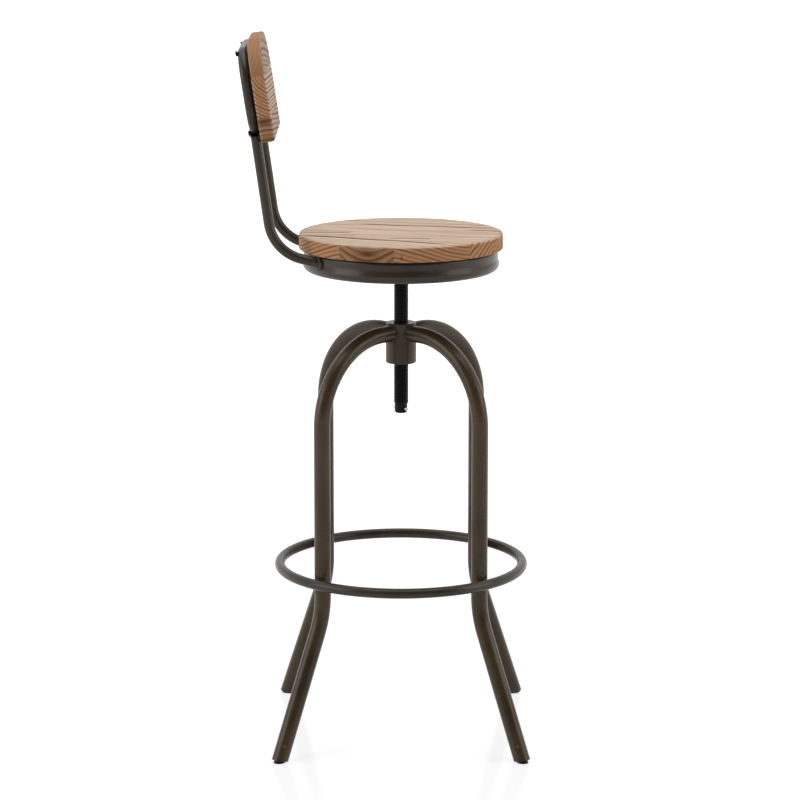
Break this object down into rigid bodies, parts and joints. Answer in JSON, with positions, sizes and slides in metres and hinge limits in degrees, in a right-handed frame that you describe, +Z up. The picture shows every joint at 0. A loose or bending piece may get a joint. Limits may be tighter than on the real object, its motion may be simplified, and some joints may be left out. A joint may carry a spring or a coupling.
{
  "type": "bar stool",
  "caption": "Swivel bar stool: splayed tube legs with a footrest ring, and a round wooden seat with a wooden backrest on tubes that turns and rises on a central screw.",
  "frame": {"origin": "on the floor, under the middle of the whole stool's box, which is 24 mm behind the screw's axis", "axes": "+X to the stool's front, +Y to the sitter's left, +Z up, parallel to the screw's axis"},
  "size_m": [0.4252, 0.3772, 1.0446],
  "materials": {
    "leg_paint": "satin dark bronze paint",
    "frame_paint": "satin dark grey bronze paint",
    "screw_black": "black, lightly oiled",
    "bright_steel": "bright zinc plate",
    "black_steel": "black",
    "foot_plastic": "moulded black",
    "bumper_rubber": "matt black",
    "seat_wood": "open-grained wood, matt oil",
    "back_wood": "open-grained wood, matt oil"
  },
  "bodies": {
    "base": {"leg_front_left": "leg_paint", "foot_front_left": "foot_plastic", "leg_rear_left": "leg_paint", "foot_rear_left": "foot_plastic", "leg_rear_right": "leg_paint", "foot_rear_right": "foot_plastic", "leg_front_right": "leg_paint", "foot_front_right": "foot_plastic", "foot_pins": "bright_steel", "footrest_ring": "frame_paint", "hub_nut": "leg_paint"},
    "riser": {"bumper_ring": "bumper_rubber"},
    "seat": {"threaded_spindle": "screw_black", "stop_pin": "bright_steel", "spindle_flange": "frame_paint", "flange_bolts": "bright_steel", "flange_nuts": "bright_steel", "seat_pan": "frame_paint", "wood_seat": "seat_wood", "seat_screws": "black_steel", "back_bar_left": "frame_paint", "back_bar_right": "frame_paint", "back_loop": "frame_paint", "backrest_panel": "back_wood", "backrest_screws": "black_steel"}
  },
  "joints": [
    {"name": "seat_height", "type": "slide", "parent": "base", "child": "riser", "axis": [0, 0, 1], "range_m": [-0.0655, 0.0667]},
    {"name": "seat_swivel", "type": "hinge", "parent": "riser", "child": "seat", "pos_m": [0.024, 0, 0.6], "axis": [0, 0, 1], "range_deg": [-7848, 7992]}
  ],
  "couplings": [
    {"joint": "seat_height", "follows": "seat_swivel", "m_per_rad": 0.00047746}
  ]
}
